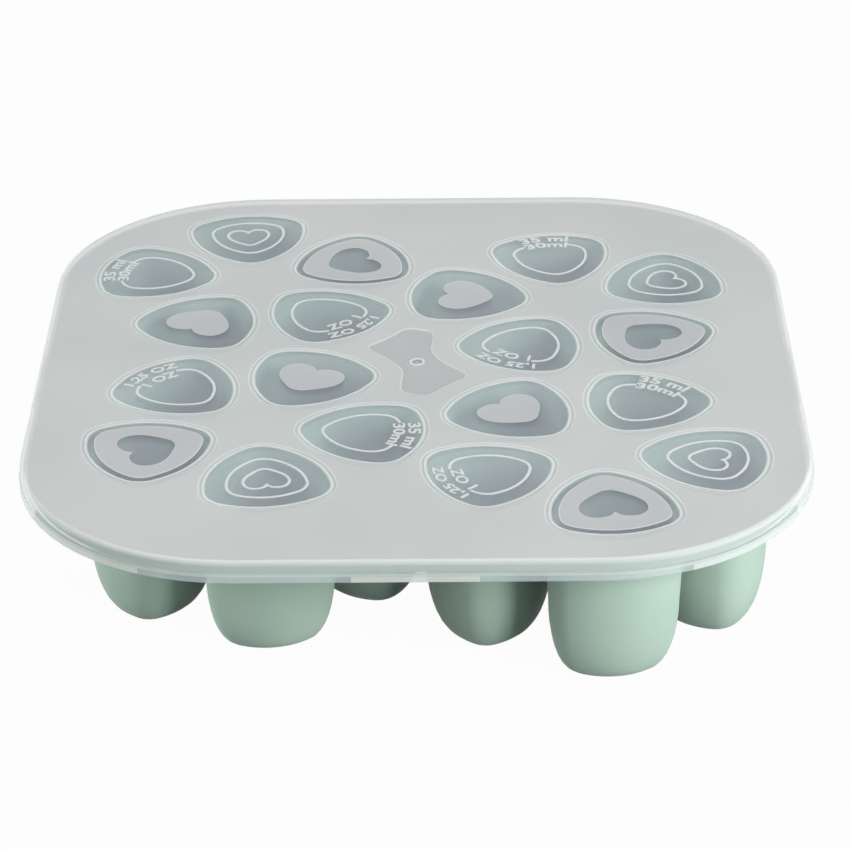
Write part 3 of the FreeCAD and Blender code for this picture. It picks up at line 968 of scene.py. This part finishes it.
def banded_plastic(name):
    """The skirt's plastic: its milkiness and tint follow the height, with painted highlight and shade."""
    material, where, out = new_material(name)
    height = where.node("ShaderNodeSeparateXYZ", {}, {"Vector": where}, output=2)
    up = height.between(LID_FOOT * MM, LID_TOP * MM)
    skirt_height = SKIRT_BANDS[-1][0]
    tints = [(z / skirt_height, colour(*tint)) for z, tint, _ in SKIRT_BANDS]
    hides = [(z / skirt_height, (1 - share, 1 - share, 1 - share, 1.0)) for z, _, share in SKIRT_BANDS]
    streak = where.noise(260.0, detail=3.0)
    skin = {
        "Base Color": up.node("ShaderNodeValToRGB", {"stops": tints}, {"Fac": up}),
        "Roughness": 0.34 + 0.08 * streak,
        "Alpha": up.node("ShaderNodeValToRGB", {"stops": hides}, {"Fac": up}) + 0.02 * (streak - 0.5),
        "Normal": where.noise(3200.0, detail=1.5).bump(0.15, 0.0001),
    }
    surface(out, where.node("ShaderNodeBsdfPrincipled", {}, skin))
    return material


skirt_plastic = banded_plastic("skirt_plastic")
print(len(SKIRT_BANDS), "stops up the skirt")

# %% [markdown]
# ## A finish for each face
# The mould is polished for the windows' floors, satin for their frames and the star, and textured for
# the rest. The lips round the windows and the gate's ring are painted paler than the frames, a painted
# highlight along them. Each finish is a material, and each face of the lid takes one by its height, by
# how far it is from the lid's outline, from the beads or from the middle, or by its number of corners.

# %% The lid's finishes
FINISHES = {  # pale and deep tint, the share it lets through, roughness, depth of grain
    "frosted": plastic("frosted_plastic", (192, 194, 193), (186, 191, 191), 0.35, 0.5, 0.2),
    "clear": plastic("clear_plastic", (194, 201, 213), (188, 196, 208), 0.79, 0.16, 0.04),
    "border": plastic("window_border", (190, 196, 195), (184, 192, 190), 0.4, 0.4, 0.15),
    # paler than the frames: a painted highlight along the lips and the gate's ring
    "lip": plastic("lip_painted_highlight", (208, 210, 211), (202, 205, 205), 0.3, 0.4, 0.1),
    "skirt": skirt_plastic,
    "bead": plastic("snap_beads", (212, 218, 217), (206, 213, 211), 0.3, 0.38, 0.15),
    "star": plastic("star_plastic", (179, 180, 182), (173, 176, 178), 0.4, 0.36, 0.12),
}


EDGE_INSET, EDGE_DROP = 2.0, 1.3  # how far in and down the lid's round shoulder reaches, with room
GATE_RIM = 2.5  # the gate's raised ring lies inside this radius
DIMPLE = (1.0, 1.6)  # the gate's dimple, from its nub to its ring
CLOSE = 0.001  # heights closer than this count as one


def finish_of(face):
    """The name of the finish of one face of the lid."""
    height, inset = face.center.z / MM, inset_of(face.center)
    from_middle = hypot(face.center.x, face.center.y) / MM
    if len(face.vertices) == len(petal):  # only a window's floor and underside have so many corners
        return "clear"
    if height < STRIP and (inset > SKIRT_WALL + 0.2 or by_a_bead(face.center)):
        return "bead"
    # the round shoulder takes the skirt's plastic, whose milky top band is a painted highlight
    if height < LID_UNDER - 0.1 or (inset < EDGE_INSET and height > LID_TOP - EDGE_DROP):
        return "skirt"
    if inset < EDGE_INSET or height > LID_TOP - CLOSE or height < LID_UNDER + CLOSE:  # the flat sheet
        return "frosted"
    if height < PANEL + 0.04:  # the star, and what is sunk into it
        return "clear" if DIMPLE[0] < from_middle < DIMPLE[1] else "star"
    return "lip" if from_middle < GATE_RIM or height > LIP - CLOSE else "border"


lid.data.materials.clear()
for finish in FINISHES.values():
    lid.data.materials.append(finish)
numbers = {name: number for number, name in enumerate(FINISHES)}
for face in lid.data.polygons:
    face.material_index = numbers[finish_of(face)]
for name, number in numbers.items():
    print(name, sum(face.material_index == number for face in lid.data.polygons), "faces of the lid")

# %% [markdown]
# ## Finishes of the raised marks
# Lines and letters are so narrow that their rounded edges catch light all over, so they are painted
# whiter than the plates and hearts, a painted highlight. Those have the same paler finish, the painted
# highlight, only round their edges.

# %% Lines, plates and the edges of the plates
painted_highlight_plastic = plastic("painted_highlight_plastic", (208, 210, 210), (202, 206, 206), 0.35, 0.4, 0.15)
raised_plates = plastic("raised_plates", (182, 184, 185), (176, 179, 181), 0.35, 0.4, 0.15)
lines.data.materials.clear()
lines.data.materials.append(painted_highlight_plastic)
plates.data.materials.clear()
plates.data.materials.append(raised_plates)
plates.data.materials.append(painted_highlight_plastic)
# the plates' edges take the paler finish: a painted highlight
edges = [face for face in plates.data.polygons if FLOOR < face.center.z / MM < FLOOR + RELIEF - CLOSE]
for face in edges:
    face.material_index = 1
print(len(edges), "faces at the edges of the plates catch more light")

# %% [markdown]
# ## Riding on the solids
# The tray's skin stands for the deck and the four flowers of cups, and the lid's skin for the lid. The
# marks go up and down with the lid.

# %% Bodies and nodes
cups = [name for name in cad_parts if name.startswith("cups_")]
for piece, part in ((tray, "tray"), (lid, "lid"), (lines, "lid"), (plates, "lid")):
    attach(piece, part)
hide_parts("tray_deck", *cups)
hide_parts("lid")
print("cups:", cups)

# %% [markdown]
# ## The stage
# A pale floor carries a faint shadow. Seen by the camera it is mostly plain white, so that the shadow
# stays light, and gloss and glass see the same white. It lies a hair below the cups' feet, because two
# faces in one plane flicker. The sky is white to the camera too, but lights the object only faintly.

# %% The floor
WHITE = 0.97  # how much of the floor is plain white to the camera
deselect()
bpy.ops.mesh.primitive_plane_add(size=12.0, location=(0, 0, -0.3 * MM))
floor = bpy.context.object
floor.name = "floor"
white_floor, where, out = new_material("white_floor")
shade = where.node("ShaderNodeBsdfDiffuse", {}, {"Color": colour(170, 170, 170)})
glow = where.node("ShaderNodeEmission", {}, {"Color": (1, 1, 1, 1), "Strength": 1.0})
surface(out, where.node("ShaderNodeMixShader", {}, {0: where.seen() * WHITE, 1: shade, 2: glow}))
floor.data.materials.append(white_floor)
floor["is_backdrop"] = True
print("floor:", [round(side, 1) for side in floor.dimensions])

# %% The sky
SKY_LIGHT = 0.08
world = bpy.data.worlds.new("pale_sky")
bpy.context.scene.world = world
world.use_nodes = True
tree = world.node_tree
tree.nodes.clear()
out = tree.nodes.new("ShaderNodeOutputWorld")
sky = Wire(tree, out.inputs["Surface"])
strength = SKY_LIGHT + (1 - SKY_LIGHT) * sky.seen()
surface(out, sky.node("ShaderNodeBackground", {}, {"Color": (1, 1, 1, 1), "Strength": strength}))
print("the sky lights with", SKY_LIGHT)

# %% [markdown]
# ## Lamps
# Three soft square lamps, as in a small studio: a large one high above for the lid, a low one at the
# right front that models the fronts of the cups, and a weaker one from the left for the last cup. The
# two low ones light without a mirror image, which would wash out the lid when seen at a flat angle.


# %% Three soft lamps
def lamp(name, place, aim, size, power, shines=True):
    """A soft square lamp that faces a point. One that doesn't shine leaves no bright spot on gloss."""
    bpy.ops.object.light_add(type="AREA", location=place)
    made = bpy.context.object
    made.name = name
    made.data.size = size
    made.data.energy = power
    made.visible_glossy = shines
    made.rotation_mode = "QUATERNION"
    made.rotation_quaternion = (Vector(aim) - Vector(place)).to_track_quat("-Z", "Y")


lamp("overhead", (0.0, 0.25, 1.3), (0, 0, 0), 1.2, 14.8)
lamp("right_front", (0.9, -0.8, 0.5), (0, 0, 0.02), 0.7, 20.8, shines=False)
lamp("left_side", (-1.2, -0.1, 0.36), (0, 0, 0.02), 0.6, 11.5, shines=False)

# %% [markdown]
# ## The camera
# A long lens from about a metre away, looking down a little less than 28 degrees, a hair off the
# middle: the lid's sides converge only slightly, and all of the front row of cups shows under it.

# %% Camera
bpy.ops.object.camera_add(location=(0.009476, -0.996302, 0.552229))
camera = bpy.context.object
camera.rotation_euler = (radians(62.28976), radians(0.53255), radians(0.13285))
camera.data.lens = 148.854
camera.data.clip_start = 0.05
bpy.context.scene.camera = camera
bpy.context.scene.view_settings.view_transform = "Standard"
print("camera", [round(c, 3) for c in camera.location])

# %% [markdown]
# ## Sizes and the end
# The finished skins must fill the same box as the solids that they stand for. The two boxes are written
# down side by side.

# %% The two boxes
visual_box = [list(corner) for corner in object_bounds()]
print("solids", [[round(c, 4) for c in corner] for corner in cad_box])
print("pieces", [[round(c, 4) for c in corner] for corner in visual_box])
